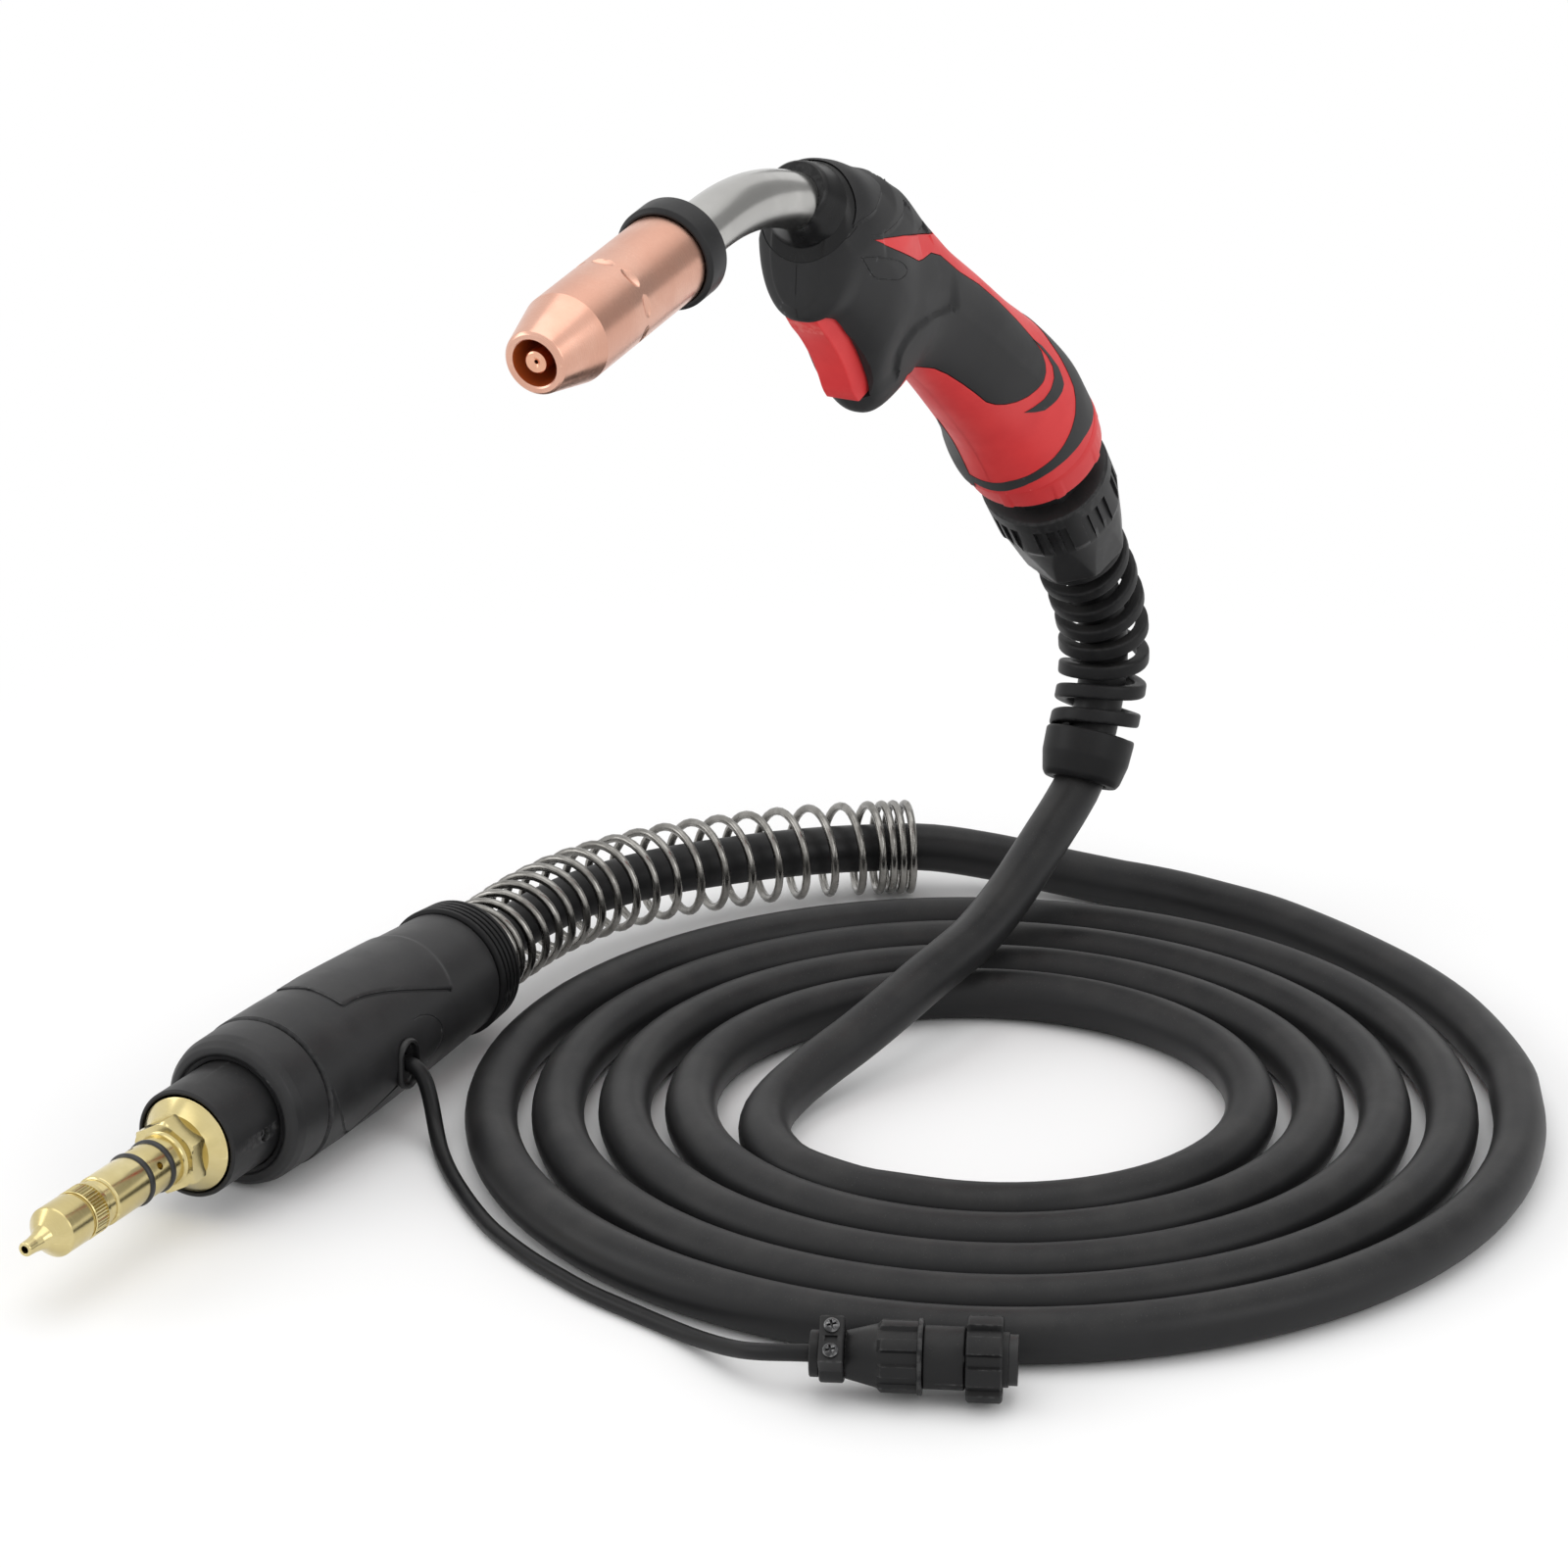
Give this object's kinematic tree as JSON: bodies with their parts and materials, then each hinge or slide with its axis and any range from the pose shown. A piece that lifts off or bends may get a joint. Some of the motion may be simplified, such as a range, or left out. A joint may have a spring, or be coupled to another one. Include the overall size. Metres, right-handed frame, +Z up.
{
  "type": "welding torch",
  "caption": "Gas-shielded wire welding torch: nozzle on a bent neck, pistol handle with trigger, coiled cable, rear power-pin connector and control plug.",
  "frame": {"origin": "middle of the cable coil, on the surface that the cable, the connector and the plug lie on", "axes": "+Z up; -X along the power pin, the way it leaves the rear housing, and the side that the nozzle points to; +Y from the coil towards the rear housing"},
  "size_m": [0.4819, 0.4065, 0.3429],
  "materials": {
    "copper": "bright drawn copper",
    "contact_copper": "machined copper",
    "neck_steel": "brushed",
    "bright_steel": "machined",
    "spring_steel": "drawn wire",
    "pin_brass": "machined",
    "inner_brass": "machined",
    "red_plastic": "satin moulded",
    "black_plastic": "satin moulded",
    "nylon_black": "moulded nylon",
    "grip_rubber": "soft touch",
    "cable_rubber": "smooth jacket",
    "o_ring_rubber": "glossy",
    "insulation": "moulded",
    "switch_plastic": "moulded"
  },
  "bodies": {
    "lead": {"gland_spigot": "nylon_black", "spigot_clip": "spring_steel", "gland_nut": "nylon_black", "strain_relief": "grip_rubber", "cable_riser": "cable_rubber", "cable_coil": "cable_rubber", "cable_tail": "cable_rubber", "support_spring": "spring_steel", "housing_shell_left": "black_plastic", "housing_shell_right": "black_plastic", "housing_front_ring": "black_plastic", "front_collar": "nylon_black", "collar_screws": "bright_steel", "rear_cap": "grip_rubber", "rear_terminal": "inner_brass", "power_pin": "pin_brass", "pin_o_rings": "o_ring_rubber", "pin_nose": "pin_brass", "lead_grommet": "grip_rubber", "control_lead": "cable_rubber", "plug_cap": "nylon_black", "plug_clamp": "nylon_black", "plug_clamp_screws": "bright_steel", "plug_backshell": "nylon_black", "plug_barrel": "nylon_black", "plug_insert": "nylon_black", "plug_contacts": "inner_brass"},
    "swivel": {"swivel_ball": "nylon_black"},
    "torch": {"contact_tip": "contact_copper", "gas_diffuser": "inner_brass", "insulating_ring": "nylon_black", "neck_jacket": "neck_steel", "neck_insulation": "insulation", "neck_conductor": "contact_copper", "neck_boot": "black_plastic", "neck_clamp": "nylon_black", "handle_shell_left": "red_plastic", "handle_shell_right": "red_plastic", "grip_pad_left": "grip_rubber", "grip_pad_right": "grip_rubber", "rear_ring": "red_plastic", "socket_ring": "nylon_black", "shell_screws": "bright_steel", "trigger_pin": "bright_steel", "trigger_spring": "spring_steel", "micro_switch": "switch_plastic", "front_terminal": "inner_brass", "handle_cable": "cable_rubber"},
    "nozzle": {"nozzle": "copper"},
    "trigger": {"trigger": "red_plastic"},
    "button": {"switch_button": "insulation"},
    "coupling": {"plug_coupling": "nylon_black"}
  },
  "joints": [
    {"name": "handle_twist", "type": "hinge", "parent": "lead", "child": "swivel", "pos_m": [0.122, 0.046, 0.2], "axis": [0.6361, 0, -0.7716], "range_deg": [-45, 45]},
    {"name": "handle_tilt", "type": "hinge", "parent": "swivel", "child": "torch", "pos_m": [0.122, 0.046, 0.2], "axis": [0, 1, 0], "range_deg": [-8, 8]},
    {"name": "nozzle_slide", "type": "slide", "parent": "torch", "child": "nozzle", "axis": [-0.9869, 0, -0.1616], "range_m": [0, 0.03]},
    {"name": "trigger_pull", "type": "hinge", "parent": "torch", "child": "trigger", "pos_m": [-0.0335, 0.046, 0.2886], "axis": [0, -1, 0], "range_deg": [0, 4], "stiffness_Nm_per_rad": 0.4, "springref_deg": -8.59},
    {"name": "button_press", "type": "slide", "parent": "torch", "child": "button", "axis": [0.766, 0, 0.6428], "range_m": [0, 0.002]},
    {"name": "coupling_turn", "type": "hinge", "parent": "lead", "child": "coupling", "pos_m": [-0.17708, -0.08323, 0.0132], "axis": [0.4003, -0.9164, 0], "continuous": true}
  ],
  "couplings": [
    {"joint": "button_press", "follows": "trigger_pull", "m_per_rad": 0.0267}
  ]
}
